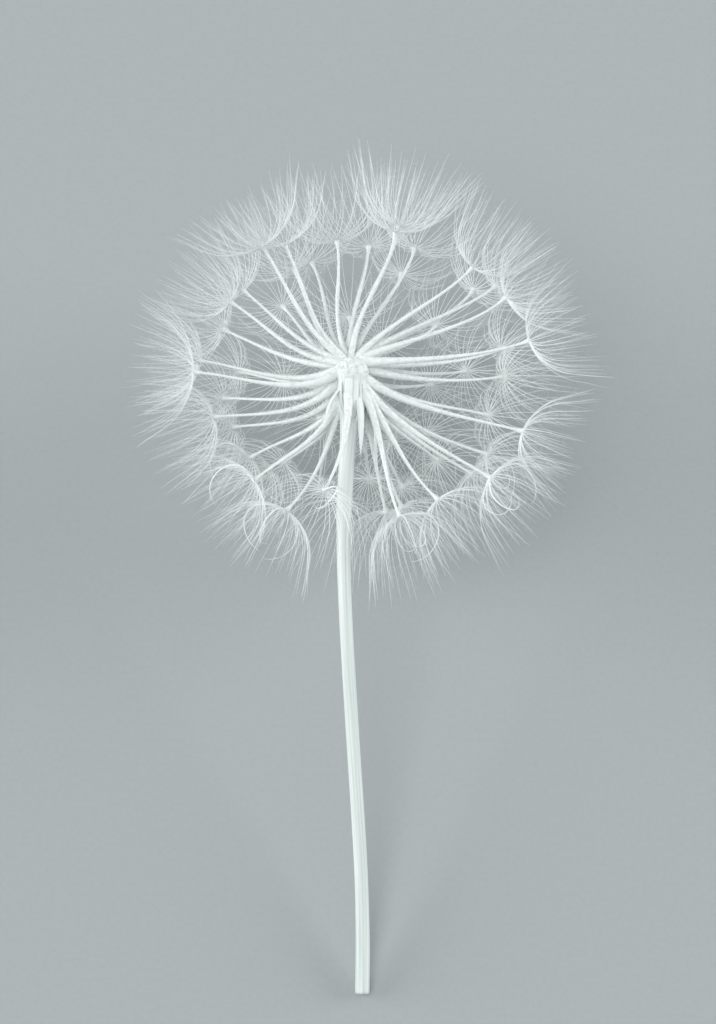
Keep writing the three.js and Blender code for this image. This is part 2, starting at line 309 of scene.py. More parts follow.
@dataclass
class Seed:
    line: list  # points from the root to the disc, evenly spaced
    axis: Vector  # of its parachute
    girth: float  # of its body, against the stoutest
    ray_length: float
    turn: float  # of its first ray round the axis
    polar: float  # of its disc, from the head's top


CURVE_STEPS = 200


def bezier(points, count):
    """Evenly spaced points along a cubic Bezier curve."""
    a, b, c, d = points
    fine = []
    for i in range(CURVE_STEPS + 1):
        t = i / CURVE_STEPS
        s = 1 - t
        fine.append(s**3 * a + 3 * s * s * t * b + 3 * s * t * t * c + t**3 * d)
    return evenly(fine, count)


def evenly(points, count):
    """The same path in count evenly spaced points."""
    runs = [0.0]
    for before, after in zip(points, points[1:]):
        runs.append(runs[-1] + (after - before).length)
    even = []
    k = 0
    for i in range(count):
        run = runs[-1] * i / (count - 1)
        while k < len(runs) - 2 and runs[k + 1] < run:
            k += 1
        share = (run - runs[k]) / (runs[k + 1] - runs[k])
        even.append(points[k].lerp(points[k + 1], share))
    return even


def has_blown_off(polar, azimuth):
    """The seeds that face away from the floor are gone, except beside the stalk."""
    facing = math.acos(math.sin(polar) * math.sin(azimuth))
    return facing < BLOWN_ANGLE and polar < SHELTERED_POLAR


def globe_place(polar, azimuth, reach):
    """Where a disc stands on the globe, which is a little flat along the stalk."""
    return place(
        GLOBE_SHIFT.x + reach * math.sin(polar) * math.cos(azimuth),
        GLOBE_SHIFT.y + reach * math.cos(polar) * GLOBE_FLATNESS,
        GLOBE_SHIFT.z + reach * math.sin(polar) * math.sin(azimuth),
    )


def plan_seeds():
    """The seeds that have stayed, and the directions of the scars of those that have gone."""
    stray = dice(SPIRAL_DICE)
    habit = dice(HABIT_DICE)
    seeds = []
    scars = []
    for i in range(SEEDS_BORNE):
        share = (i + 0.5) / SEEDS_BORNE
        ring_polar = math.acos(1 - share * (1 - math.cos(BARE_POLAR)))
        ring_width = max(math.sin(ring_polar), POLE_EASE)
        polar = ring_polar + SPIRAL_STRAY * next(stray)
        azimuth = SPIRAL_START - i * GOLDEN_TURN + SPIRAL_STRAY * next(stray) / ring_width
        reach = NODE_REACH * (1 + NODE_REACH_SPREAD * next(stray))
        disc = globe_place(polar, azimuth, reach)
        rootward = head_direction(ROOT_SHARE * polar, azimuth, CUSHION_LEAN)
        hug = smoothstep(polar, *HUG_POLARS)
        root = HEAD_MIDDLE + (CUSHION_RADIUS - ROOT_DEPTH - HUG_DEPTH * hug) * rootward
        root -= ROOT_SINK * hug * head_direction(0, 0)
        droop = BODY_DROOP * math.sin(polar / 2) * (1 + DROOP_SPREAD * next(habit))
        start_polar = min(polar + droop, LOWEST_START) + BODY_HUG * hug
        start = head_direction(start_polar, azimuth + BODY_SWAY * next(habit), CUSHION_LEAN)
        end_polar = BEAK_SHARE * polar + BEAK_SWAY * next(habit)
        end = head_direction(end_polar, azimuth + BEAK_SWAY * next(habit))
        line = bezier(
            (root, root + BODY_RUN * start, disc - BEAK_RUN * end, disc), SEED_STEPS + 1
        )
        axis_polar = AXIS_SHARE * polar + AXIS_SWAY * next(habit)
        axis = head_direction(axis_polar, azimuth + AXIS_SWAY * next(habit) / ring_width)
        stoutness = smoothstep(polar, SLIM_POLAR, FULL_POLAR)
        seed = Seed(
            line=line,
            axis=axis,
            girth=SLIM_GIRTH + (1 - SLIM_GIRTH) * stoutness,
            ray_length=RAY_LENGTH * (1 + RAY_LENGTH_SPREAD * next(habit)),
            turn=math.pi * next(habit),
            polar=polar,
        )
        if has_blown_off(polar, azimuth):
            scars.append((root - HEAD_MIDDLE).normalized())
        else:
            seeds.append(seed)
    return seeds, scars


def ray_path(seed, bowl, root, heading, roll):
    """The path of one ray: it leaves the disc flat and curves up into the bowl. A few of the
    lowest seeds' rays curl over. Near the floor a ray turns level and goes on."""
    length = seed.ray_length * (1 + RAY_LENGTH_STRAY * next(roll))
    wild = abs(next(roll)) < WILD_SHARE
    tip_spread = RAY_SPREAD_AT_TIP + BOWL_SPREAD_STRAY * bowl[0]
    tip_spread += (WILD_STRAY if wild else RAY_TIP_STRAY) * next(roll)
    curl_share = RAY_CURL_SHARE * (1 + BOWL_CURL_STRAY * bowl[1] + RAY_CURL_STRAY * next(roll))
    drift = RAY_DRIFT * next(roll)
    wave = RAY_WAVE * next(roll)
    waves = RAY_WAVES + next(roll)
    curled = seed.polar > CURLED_POLAR and abs(next(roll)) < CURLED_SHARE
    hook = HOOK_TURN + HOOK_STRAY * next(roll) if curled else 0
    step = length / RAY_STEPS
    points = [root]
    for i in range(RAY_STEPS):
        share = (i + 0.5) / RAY_STEPS
        curl = min(share / curl_share, 1)
        spread = RAY_SPREAD_AT_ROOT + (tip_spread - RAY_SPREAD_AT_ROOT) * curl
        spread += wave * share * math.sin(waves * math.tau * share)
        spread -= hook * max(share - HOOK_START, 0) * HOOK_RATE
        side = Quaternion(seed.axis, drift * share) @ heading
        onward = math.cos(spread) * seed.axis + math.sin(spread) * side
        last = points[-1]
        steepest = min((last.z + RAY_PRESS) / RAY_SETTLE, 1)
        if onward.z < -steepest:
            level = Vector((onward.x, onward.y, 0)).normalized()
            onward = math.sqrt(1 - steepest**2) * level + Vector((0, 0, -steepest))
        if last.z > CEILING:
            onward.z = min(onward.z, 0)
            onward.normalize()
        points.append(last + step * onward)
    return points, CURLED_GIRTH if curled else 1


# ---- Lines, and the trees that grow pieces from them ----


def put_in(name, data):
    """A new object in the scene, at the origin."""
    new = bpy.data.objects.new(name, data)
    bpy.context.scene.collection.objects.link(new)
    return new


def line_mesh(name, lines):
    """A mesh of open lines. Each line gives its points and, for each point, its girth, and for
    the whole line a direction across it and a tone."""
    corners = []
    edges = []
    girths = []
    runs = []
    across = []
    alongs = []
    tones = []
    for points, radii, wide, tone in lines:
        first = len(corners)
        last = len(points) - 1
        for i, point in enumerate(points):
            ahead = points[min(i + 1, last)] - points[max(i - 1, 0)]
            corners.append(point * MM)
            girths.append(radii[i] * MM)
            runs.append(i / last)
            across.extend(wide)
            alongs.extend(ahead.normalized())
            tones.append(tone)
        edges.extend((first + i, first + i + 1) for i in range(last))
    mesh = bpy.data.meshes.new(name)
    mesh.from_pydata(corners, edges, [])
    for key, values in (("girth", girths), ("run", runs), ("tone", tones)):
        mesh.attributes.new(key, "FLOAT", "POINT").data.foreach_set("value", values)
    for key, values in (("across", across), ("along", alongs)):
        mesh.attributes.new(key, "FLOAT_VECTOR", "POINT").data.foreach_set("vector", values)
    return mesh


class Tree:
    """A Geometry Nodes tree under construction."""

    def __init__(self, name, sizes):
        self.group = bpy.data.node_groups.new(name, "GeometryNodeTree")
        sockets = self.group.interface
        sockets.new_socket("Geometry", in_out="INPUT", socket_type="NodeSocketGeometry")
        for key, value in sizes.items():
            kind = "NodeSocketInt" if isinstance(value, int) else "NodeSocketFloat"
            sockets.new_socket(key, in_out="INPUT", socket_type=kind).default_value = value
        sockets.new_socket("Material", in_out="INPUT", socket_type="NodeSocketMaterial")
        sockets.new_socket("Geometry", in_out="OUTPUT", socket_type="NodeSocketGeometry")
        self.given = self.group.nodes.new("NodeGroupInput").outputs

    def add(self, kind, inputs=None, **settings):
        """Adds a node. An input is given by its identifier or name, as a socket or a value."""
        node = self.group.nodes.new(kind)
        for key, value in settings.items():
            setattr(node, key, value)
        for key, value in (inputs or {}).items():
            socket = next((s for s in node.inputs if s.identifier == key), None)
            socket = socket or node.inputs[key]
            if isinstance(value, bpy.types.NodeSocket):
                self.group.links.new(value, socket)
            else:
                socket.default_value = value
        return node.outputs

    def attribute(self, name, kind="FLOAT"):
        return self.add("GeometryNodeInputNamedAttribute", {"Name": name}, data_type=kind)[0]

    def math(self, operation, a, b=0.0):
        inputs = {"Value": a, "Value_001": b}
        return self.add("ShaderNodeMath", inputs, operation=operation)[0]

    def vector(self, operation, a, b):
        key = "Scale" if operation == "SCALE" else "Vector_001"
        return self.add("ShaderNodeVectorMath", {"Vector": a, key: b}, operation=operation)[0]

    def direction(self, a):
        return self.add("ShaderNodeVectorMath", {"Vector": a}, operation="NORMALIZE")[0]

    def lines(self):
        return self.add("GeometryNodeMeshToCurve", {"Mesh": self.given["Geometry"]})[0]

    def rods(self, outline):
        """The outline drawn along each line, as large as the line's girth, its ends closed."""
        inputs = {"Curve": self.lines(), "Profile Curve": outline, "Fill Caps": True}
        inputs["Scale"] = self.attribute("girth")
        return self.add("GeometryNodeCurveToMesh", inputs)[0]

    def roll(self, low, high, seed):
        """A random number for each point."""
        inputs = {"Min_001": low, "Max_001": high, "Seed": seed}
        return self.add("FunctionNodeRandomValue", inputs, data_type="FLOAT")[1]

    def end(self, geometry):
        """The finished tree, which gives this geometry as one painted mesh."""
        whole = self.add("GeometryNodeRealizeInstances", {"Geometry": geometry})[0]
        smooth = self.add("GeometryNodeSetShadeSmooth", {"Geometry": whole})[0]
        inputs = {"Geometry": smooth, "Material": self.given["Material"]}
        painted = self.add("GeometryNodeSetMaterial", inputs)[0]
        result = self.group.nodes.new("NodeGroupOutput")
        self.group.links.new(painted, result.inputs["Geometry"])
        return self.group


def tube_tree():
    """A round tube along each line, as thick as the line's girth."""
    tree = Tree("tubes along lines", {"Sides": 3})
    inputs = {"Resolution": tree.given["Sides"], "Radius": 1.0}
    outline = tree.add("GeometryNodeCurvePrimitiveCircle", inputs, mode="RADIUS")[0]
    return tree.end(tree.rods(outline))


def ribbed_tree():
    """A ribbed rod along each line, as thick as the line's girth, with small pointed scales on it
    up to a share of its length."""
    sizes = {
        "Ribs": SEED_RIBS,
        "Groove": SEED_GROOVE,
        "Scales per m2": SCALES_PER_M2,
        "Scale Length": SCALE_LENGTH * MM,
        "Scaly Share": SCALY_SHARE,
    }
    tree = Tree("ribbed seeds with scales", sizes)
    inputs = {"Points": tree.given["Ribs"], "Inner Radius": tree.given["Groove"]}
    inputs["Outer Radius"] = 1.0
    rod = tree.rods(tree.add("GeometryNodeCurveStar", inputs)[0])
    inputs = {"Mesh": rod, "Density": tree.given["Scales per m2"], "Seed": SCALE_DICE[0]}
    spots = tree.add("GeometryNodeDistributePointsOnFaces", inputs)
    outward = tree.vector("SCALE", spots["Normal"], SCALE_LEAN)
    onward = tree.vector("ADD", outward, tree.attribute("along", "FLOAT_VECTOR"))
    turn = tree.add("FunctionNodeAlignRotationToVector", {"Vector": onward}, axis="Z")[0]
    inputs = {"Vertices": 4, "Radius Bottom": SCALE_GIRTH, "Radius Top": 0.0, "Depth": 1.0}
    scale = tree.add("GeometryNodeMeshCone", inputs, fill_type="NGON")[0]
    variety = tree.roll(*SCALE_SPREAD, SCALE_DICE[1])
    length = tree.math("MULTIPLY", tree.given["Scale Length"], variety)
    scaly = tree.math("LESS_THAN", tree.attribute("run"), tree.given["Scaly Share"])
    inputs = {
        "Points": spots["Points"],
        "Selection": scaly,
        "Instance": scale,
        "Rotation": turn,
        "Scale": length,
    }
    scales = tree.add("GeometryNodeInstanceOnPoints", inputs)[0]
    both = tree.group.nodes.new("GeometryNodeJoinGeometry")
    tree.group.links.new(rod, both.inputs[0])
    tree.group.links.new(scales, both.inputs[0])
    return tree.end(both.outputs[0])


def hair_tree():
    """Fine pointed hairs along each line. They lean forward and to both sides of the line, grow
    shorter towards its ends and end above the floor."""
    sizes = {"Spacing": HAIR_SPACING * MM, "Length": HAIR_LENGTH * MM, "Girth": HAIR_GIRTH * MM}
    tree = Tree("side hairs along rays", {**sizes, "Seed": 1})
    inputs = {"Curve": tree.lines(), "Length": tree.given["Spacing"]}
    spots = tree.add("GeometryNodeCurveToPoints", inputs, mode="LENGTH")
    run = tree.attribute("run")
    seed = tree.given["Seed"]
    slant_seed, lift_seed, length_seed = (tree.math("ADD", seed, more) for more in HAIR_DICE)
    across = tree.attribute("across", "FLOAT_VECTOR")
    side = tree.math("SIGN", tree.roll(-1.0, 1.0, seed))
    slant = tree.math("MULTIPLY", side, tree.roll(*HAIR_SLANT, slant_seed))
    sideways = tree.vector("SCALE", across, slant)
    upward = tree.vector("CROSS_PRODUCT", across, spots["Tangent"])
    lifted = tree.vector("SCALE", upward, tree.roll(-HAIR_LIFT, HAIR_LIFT, lift_seed))
    onward = tree.vector("ADD", spots["Tangent"], tree.vector("ADD", sideways, lifted))
    onward = tree.direction(onward)
    full, tip = HAIR_FALL
    inputs = {"Value": run, "From Min": tip, "From Max": full, "To Min": HAIR_TIP_SHARE}
    outer = tree.add("ShaderNodeMapRange", inputs)[0]
    bare, full = HAIR_RISE
    inner = tree.add("ShaderNodeMapRange", {"Value": run, "From Min": bare, "From Max": full})[0]
    length = tree.math("MULTIPLY", tree.given["Length"], tree.math("MULTIPLY", outer, inner))
    length = tree.math("MULTIPLY", length, tree.roll(*HAIR_SPREAD, length_seed))
    spot = tree.add("ShaderNodeSeparateXYZ", {"Vector": tree.add("GeometryNodeInputPosition")[0]})
    parts = tree.add("ShaderNodeSeparateXYZ", {"Vector": onward})
    fall = tree.math("DIVIDE", spot["Z"], length)
    steepest = tree.math("MAXIMUM", tree.math("MULTIPLY", fall, -HAIR_FLOOR_SHARE), -1.0)
    dip = tree.math("MAXIMUM", parts["Z"], steepest)
    level = tree.add("ShaderNodeCombineXYZ", {"X": parts["X"], "Y": parts["Y"], "Z": 0.0})[0]
    level = tree.direction(level)
    reach = tree.math("SQRT", tree.math("SUBTRACT", 1.0, tree.math("MULTIPLY", dip, dip)))
    height = tree.add("ShaderNodeCombineXYZ", {"X": 0.0, "Y": 0.0, "Z": dip})[0]
    onward = tree.vector("ADD", tree.vector("SCALE", level, reach), height)
    turn = tree.add("FunctionNodeAlignRotationToVector", {"Vector": onward}, axis="Z")[0]
    girth = tree.given["Girth"]
    size = tree.add("ShaderNodeCombineXYZ", {"X": girth, "Y": girth, "Z": length})[0]
    inputs = {"Vertices": 3, "Radius Bottom": 1.0, "Radius Top": 0.0, "Depth": 1.0}
    hair = tree.add("GeometryNodeMeshCone", inputs, fill_type="NGON")[0]
    inputs = {
        "Points": spots["Points"],
        "Selection": tree.math("LESS_THAN", run, HAIR_END),
        "Instance": hair,
        "Rotation": turn,
        "Scale": size,
    }
    return tree.end(tree.add("GeometryNodeInstanceOnPoints", inputs)[0])


def grown(name, lines, tree, material, **sizes):
    """The plain mesh that the tree makes from the lines, as a piece of the object."""
    guide = put_in(name + "_guide", line_mesh(name + "_lines", lines))
    modifier = guide.modifiers.new("grow", "NODES")
    modifier.node_group = tree
    values = {"Material": material, **sizes}
    for item in tree.interface.items_tree:
        if item.in_out == "INPUT" and item.name in values:
            modifier[item.identifier] = values[item.name]
    depsgraph = bpy.context.evaluated_depsgraph_get()
    mesh = bpy.data.meshes.new_from_object(guide.evaluated_get(depsgraph))
    bpy.data.objects.remove(guide)
    mesh.name = name
    return put_in(name, mesh)


# ---- Lofted pieces ----


def loft(name, rings, material):
    """A closed skin over rings of points, whose ends are filled, with its faces outward. Its UV
    map gives the share of the way round a ring and the millimetres along the piece."""
    around = len(rings[0])
    corners = [point * MM for ring in rings for point in ring]
    faces = []
    spots = []
    runs = [0.0]
    for before, after in zip(rings, rings[1:]):
        runs.append(runs[-1] + (after[0] - before[0]).length)
    for i in range(len(rings) - 1):
        for k in range(around):
            right = (k + 1) % around
            row, above = i * around, (i + 1) * around
            faces.append((row + k, row + right, above + right, above + k))
            low, high = runs[i], runs[i + 1]
            spots += [(k, low), (k + 1, low), (k + 1, high), (k, high)]
    faces.append(tuple(reversed(range(around))))
    faces.append(tuple(range(len(corners) - around, len(corners))))
    spots += [(0, 0)] * around + [(0, runs[-1])] * around
    mesh = bpy.data.meshes.new(name)
    mesh.from_pydata(corners, [], faces)
    uv = mesh.uv_layers.new(name="skin")
    for loop, (turn, run) in zip(uv.data, spots):
        loop.uv = (turn / around, run)
    skin = bmesh.new()
    skin.from_mesh(mesh)
    if skin.calc_volume(signed=True) < 0:
        bmesh.ops.reverse_faces(skin, faces=skin.faces)
        skin.to_mesh(mesh)
    skin.free()
    mesh.shade_smooth()
    mesh.materials.append(material)
    return put_in(name, mesh)


# ---- Materials ----


class Paint:
    """A material under construction: one Principled shader, fed by procedural nodes."""

    def __init__(self, name, **constants):
        self.material = bpy.data.materials.new(name)
        self.material.use_nodes = True
        self.nodes = self.material.node_tree.nodes
        self.shader = self.nodes["Principled BSDF"]
        for key, value in constants.items():
            self.shader.inputs[key.replace("_", " ")].default_value = value

    def add(self, kind, inputs=None, **settings):
        node = self.nodes.new(kind)
        for key, value in settings.items():
            setattr(node, key, value)
        for key, value in (inputs or {}).items():
            if isinstance(value, bpy.types.NodeSocket):
                self.material.node_tree.links.new(value, node.inputs[key])
            else:
                node.inputs[key].default_value = value
        return node.outputs

    def feed(self, key, socket):
        self.material.node_tree.links.new(socket, self.shader.inputs[key])

    def glow_through(self, reach):
        """How far red, green and blue light wander under the skin, in millimetres."""
        self.shader.inputs["Subsurface Radius"].default_value = [part * MM for part in reach]

    def spot(self):
        """The place on the object, in metres."""
        return self.add("ShaderNodeTexCoord")["Object"]

    def skin(self):
        """The lofted pieces' UV map: share of the way round, millimetres along."""
        return self.add("ShaderNodeUVMap", uv_map="skin")[0]

    def stretched(self, coordinates, scale):
        """Coordinates squeezed by scale along each direction."""
        return self.add("ShaderNodeMapping", {"Vector": coordinates, "Scale": scale})[0]

    def noise(self, coordinates, scale, detail=3.0):
        inputs = {"Vector": coordinates, "Scale": scale, "Detail": detail}
        return self.add("ShaderNodeTexNoise", inputs)[0]

    def ramp(self, value, stops):
        """A colour for each value, given as (place, colour)."""
        node = self.nodes.new("ShaderNodeValToRGB")
        self.material.node_tree.links.new(value, node.inputs[0])
        points = node.color_ramp.elements
        while len(points) < len(stops):
            points.new(0.5)
        for point, (where, colour) in zip(points, stops):
            point.position = where
            point.color = (*colour, 1)
        return node.outputs[0]

    def bump(self, height, strength, distance):
        inputs = {"Height": height, "Strength": strength, "Distance": distance}
        self.feed("Normal", self.add("ShaderNodeBump", inputs)[0])


def seed_paint():
    """Dry seed coat: nearly white, with faint greyer spots and a fine grain."""
    paint = Paint("seed coat", Roughness=0.5, Specular_IOR_Level=0.35, Sheen_Weight=0.15)
    mottle = paint.noise(paint.spot(), scale=1400.0, detail=4.0)
    colour = paint.ramp(mottle, [(0.3, (0.74, 0.78, 0.765)), (0.62, (0.86, 0.885, 0.875))])
    paint.feed("Base Color", colour)
    paint.bump(paint.noise(paint.spot(), scale=3200.0), strength=0.5, distance=0.12 * MM)
    return paint.material


def cushion_paint():
    """The cushion's pithy skin: duller than the seeds, mottled grey."""
    paint = Paint("cushion pith", Roughness=0.7, Specular_IOR_Level=0.2, Subsurface_Weight=0.1)
    paint.glow_through((0.4, 0.5, 0.4))
    mottle = paint.noise(paint.spot(), scale=1100.0, detail=5.0)
    colour = paint.ramp(mottle, [(0.36, (0.6, 0.65, 0.635)), (0.6, (0.8, 0.835, 0.82))])
    paint.feed("Base Color", colour)
    paint.bump(mottle, strength=0.6, distance=0.15 * MM)
    return paint.material


def silk_paint():
    """Silky hairs: white with a cool cast, each ray a touch lighter or darker."""
    paint = Paint("parachute silk", Roughness=0.38, Specular_IOR_Level=0.5, Sheen_Weight=0.3)
    tone = paint.add("ShaderNodeAttribute", attribute_name="tone")["Fac"]
    colour = paint.ramp(tone, [(0.0, (0.86, 0.9, 0.89)), (1.0, (0.97, 0.985, 0.98))])
    paint.feed("Base Color", colour)
    return paint.material


# Painted shade: the stalk's colour greys further from the head, standing in for the shade that
# falls on it there.
PAINTED_SHADE_RUN = (25.0, 70.0)  # millimetres down the stalk over which it grows greyer
PAINTED_SHADE_DEPTH = 0.13  # how much of the streaks' value that takes away


def stalk_paint():
    """Smooth pale stalk with faint streaks along it, nearly white below the head and a little
    greyer further down, where the greying is painted shade."""
    paint = Paint("stalk skin", Roughness=0.55, Specular_IOR_Level=0.3, Subsurface_Weight=0.12)
    paint.glow_through((0.6, 0.7, 0.6))
    skin = paint.skin()
    streaks = paint.noise(paint.stretched(skin, (26.0, 0.035, 1.0)), scale=1.0, detail=5.0)
    run = paint.add("ShaderNodeSeparateXYZ", {"Vector": skin})["Y"]
    # Painted shade: the streaks' value is lowered down the stalk, so its colour greys away from
    # the head.
    start, end = PAINTED_SHADE_RUN
    inputs = {"Value": run, "From Min": start, "From Max": end, "To Max": PAINTED_SHADE_DEPTH}
    shade = paint.add("ShaderNodeMapRange", inputs)[0]
    tone = paint.add("ShaderNodeMath", {0: streaks, 1: shade}, operation="SUBTRACT")[0]
    colour = paint.ramp(
        tone,
        [
            (0.2, (0.51, 0.58, 0.55)),
            (0.42, (0.64, 0.695, 0.67)),
            (0.62, (0.78, 0.82, 0.805)),
        ],
    )
    paint.feed("Base Color", colour)
    paint.bump(streaks, strength=0.45, distance=0.12 * MM)
    return paint.material


def bract_paint():
    """Papery bract: long veins, paler between them."""
    paint = Paint("bract paper", Roughness=0.55, Specular_IOR_Level=0.3, Sheen_Weight=0.2)
    skin = paint.skin()
    veins = paint.noise(paint.stretched(skin, (14.0, 0.12, 1.0)), scale=1.0, detail=4.0)
    colour = paint.ramp(veins, [(0.3, (0.62, 0.68, 0.66)), (0.62, (0.83, 0.86, 0.85))])
    paint.feed("Base Color", colour)
    paint.bump(veins, strength=0.6, distance=0.1 * MM)
    return paint.material


def floor_paint():
    """Plain pale cool-grey paper."""
    paint = Paint("pale floor", Roughness=0.85, Specular_IOR_Level=0.2)
    grain = paint.noise(paint.spot(), scale=900.0, detail=2.0)
    colour = paint.ramp(grain, [(0.3, (0.35, 0.373, 0.377)), (0.7, (0.365, 0.388, 0.392))])
    paint.feed("Base Color", colour)
    return paint.material


# ---- The seed head ----


def seed_line(seed):
    """A seed's middle line over its disc's dome, with its girth."""
    radii = []
    for i in range(SEED_STEPS + 1):
        share = i / SEED_STEPS
        stout = seed.girth if share < BODY_END else 1
        blend = smoothstep(share, BODY_END - BODY_FADE, BODY_END)
        radii.append(value_at(SEED_PROFILE, share) * (stout + (1 - stout) * blend))
    points = list(seed.line)
    for height, radius in DISC_DOME:
        points.append(seed.line[-1] + height * seed.axis)
        radii.append(radius)
    return points, radii, seed.axis.orthogonal().normalized(), MIDDLE_TONE


def ray_lines(seed, roll):
    """The lines of one parachute's rays, with their girths."""
    lines = []
    first = seed.axis.orthogonal().normalized()
    bowl = (next(roll), next(roll))
    for k in range(RAY_COUNT):
        azimuth = seed.turn + math.tau * k / RAY_COUNT + RAY_SWAY * next(roll)
        heading = Quaternion(seed.axis, azimuth) @ first
        row = RAY_ROWS[k % len(RAY_ROWS)]
        root = seed.line[-1] + row * seed.axis + RAY_START * heading
        points, stoutness = ray_path(seed, bowl, root, heading, roll)
        radii = [stoutness * value_at(RAY_GIRTH, i / RAY_STEPS) for i in range(RAY_STEPS + 1)]
        for point, radius in zip(points, radii):
            point.z = max(point.z, radius)
        across = seed.axis.cross(heading).normalized()
        lines.append((points, radii, across, MIDDLE_TONE * (1 + next(roll))))
    return lines


def make_head(seed_coat, silk):
    """The seeds, their parachutes' rays, the rays' side hairs in a few shares, and the cushion."""
    seeds, scars = plan_seeds()
    roll = dice(RAY_DICE)
    parachutes = [ray_lines(seed, roll) for seed in seeds]
    pieces = [grown("seeds", [seed_line(seed) for seed in seeds], ribbed_tree(), seed_coat)]
    tubes = tube_tree()
    hairs = hair_tree()
    rays = [line for parachute in parachutes for line in parachute]
    pieces.append(grown("parachute_rays", rays, tubes, silk))
    share = math.ceil(len(parachutes) / HAIR_PIECES)
    for part in range(HAIR_PIECES):
        some = parachutes[part * share : (part + 1) * share]
        lines = [line for parachute in some for line in parachute]
        name = f"parachute_hairs_{part + 1}"
        pieces.append(grown(name, lines, hairs, silk, Seed=part + 1))
    pieces.append(make_cushion(scars, cushion_paint()))
    return pieces


# The cushion's outline: height along the head's axis and radius. Its foot is inside the stalk.
CUSHION_OUTLINE = [
    (-4.2, 1.4),
    (-3.5, 2.2),
    (-2.7, 2.85),
    (-1.8, 3.3),
    (-0.8, 3.55),
    (0.3, 3.55),
    (1.2, 3.25),
    (2.1, 2.5),
    (2.7, 1.4),
    (2.9, 0.04),
]
OUTLINE_EASE = 0.5  # how far its corners are rounded, in steps of the outline
CUSHION_ROWS = 90
CUSHION_AROUND = 150
CUSHION_LUMP = 0.09
LUMP_SIZES = (2.3, 5.1)  # lumps to a millimetre
SCAR_RADIUS = 0.5
SCAR_REACH = 1.5  # in scar radii, as are the places and widths below
SCAR_RIM = 0.12  # how far the rim of a scar stands up
SCAR_RIM_PLACE = 0.95
SCAR_RIM_WIDTH = 0.28
SCAR_PIT = 0.26
SCAR_PIT_WIDTH = 0.6
SCAR_NUB = 0.7  # height of the nub, as a share of the pit's depth
SCAR_NUB_WIDTH = 0.22


def scar_relief(point, scars):
    """How far the cushion's skin stands out at a point: each seed that has gone has left a round
    scar, with a rim, a pit and a nub in its middle."""
    height = sum(CUSHION_LUMP * noise.noise(size * point) for size in LUMP_SIZES)
    outward = (point - HEAD_MIDDLE).normalized()
    for scar in scars:
        away = (outward - scar).length * CUSHION_RADIUS / SCAR_RADIUS
        if away < SCAR_REACH:
            height += SCAR_RIM * math.exp(-(((away - SCAR_RIM_PLACE) / SCAR_RIM_WIDTH) ** 2))
            height -= SCAR_PIT * math.exp(-((away / SCAR_PIT_WIDTH) ** 2))
            height += SCAR_NUB * SCAR_PIT * math.exp(-((away / SCAR_NUB_WIDTH) ** 2))
    return height


def make_cushion(scars, material):
    """The cushion that the seeds stand on, running down into the stalk's collar."""
    rings = []
    for i in range(CUSHION_ROWS + 1):
        height, radius = smooth_outline(i / CUSHION_ROWS)
        ring = []
        for k in range(CUSHION_AROUND):
            turn = math.tau * k / CUSHION_AROUND
            point = place(radius * math.sin(turn), height, radius * math.cos(turn))
            outward = (point - HEAD_MIDDLE).normalized()
            ring.append(point + scar_relief(point, scars) * outward)
        rings.append(ring)
    return loft("cushion", rings, material)


def smooth_outline(share):
    """A point of the cushion's outline, its corners rounded."""
    last = len(CUSHION_OUTLINE) - 1
    steps = (-OUTLINE_EASE, 0, OUTLINE_EASE)
    near = [min(max(share * last + step, 0), last) for step in steps]
    keys = list(enumerate(CUSHION_OUTLINE))
    height = sum(value_at([(k, spot[0]) for k, spot in keys], at) for at in near)
    radius = sum(value_at([(k, spot[1]) for k, spot in keys], at) for at in near)
    return height / len(near), radius / len(near)


# ---- The stalk and its bracts ----


def stalk_middle(y):
    """The stalk's sideways place at a height of the head frame: a smooth line through its
    points, and its slope there."""
    slopes = []
    last = len(STALK_LINE) - 1
    for i in range(last + 1):
        (x0, y0), (x1, y1) = STALK_LINE[max(i - 1, 0)], STALK_LINE[min(i + 1, last)]
        slopes.append((x1 - x0) / (y1 - y0))
    for i in range(last):
        (x0, y0), (x1, y1) = STALK_LINE[i], STALK_LINE[i + 1]
        if y >= y1 or i == last - 1:
            span = y1 - y0
            t = (y - y0) / span
            x = (
                (2 * t**3 - 3 * t**2 + 1) * x0
                + (t**3 - 2 * t**2 + t) * span * slopes[i]
                + (3 * t**2 - 2 * t**3) * x1
                + (t**3 - t**2) * span * slopes[i + 1]
            )
            return x, slopes[i] + (slopes[i + 1] - slopes[i]) * t


COLLAR_FLARE = 1.02  # how far the stalk widens where the cushion sits on it
COLLAR_SHARE = 0.085  # of the stalk's length
# How the stalk runs on up against the cushion: height over its top, radius.
COLLAR_LIP = [(0.4, 3.38), (0.8, 3.5), (1.2, 3.53), (1.5, 3.4), (1.75, 2.8)]
PROFILE_EASE = 0.02  # how far the stalk's profile is rounded, as a share of its length
RIB_SHARE = 0.01  # how far the stalk's ribs stand out, as a share of its radius
RIBS = 10
RIB_WANDER = 0.4  # radians that the ribs wander round the stalk and back
RIB_WANDER_RATE = 0.05  # for each millimetre along it
FINE_RIBS = 17
FINE_RIB_SHARE = 0.5  # their height, as a share of the others'
FINE_RIB_TWIST = 0.03  # radians for each millimetre
STALK_ROWS = 200
STALK_AROUND = 60
# The cut end, from its rim in to the pith: depth and share of the radius.
CUT_HOLLOW = [(0.0, 0.94), (-0.12, 0.8), (0.25, 0.66), (0.7, 0.5), (0.9, 0.2)]


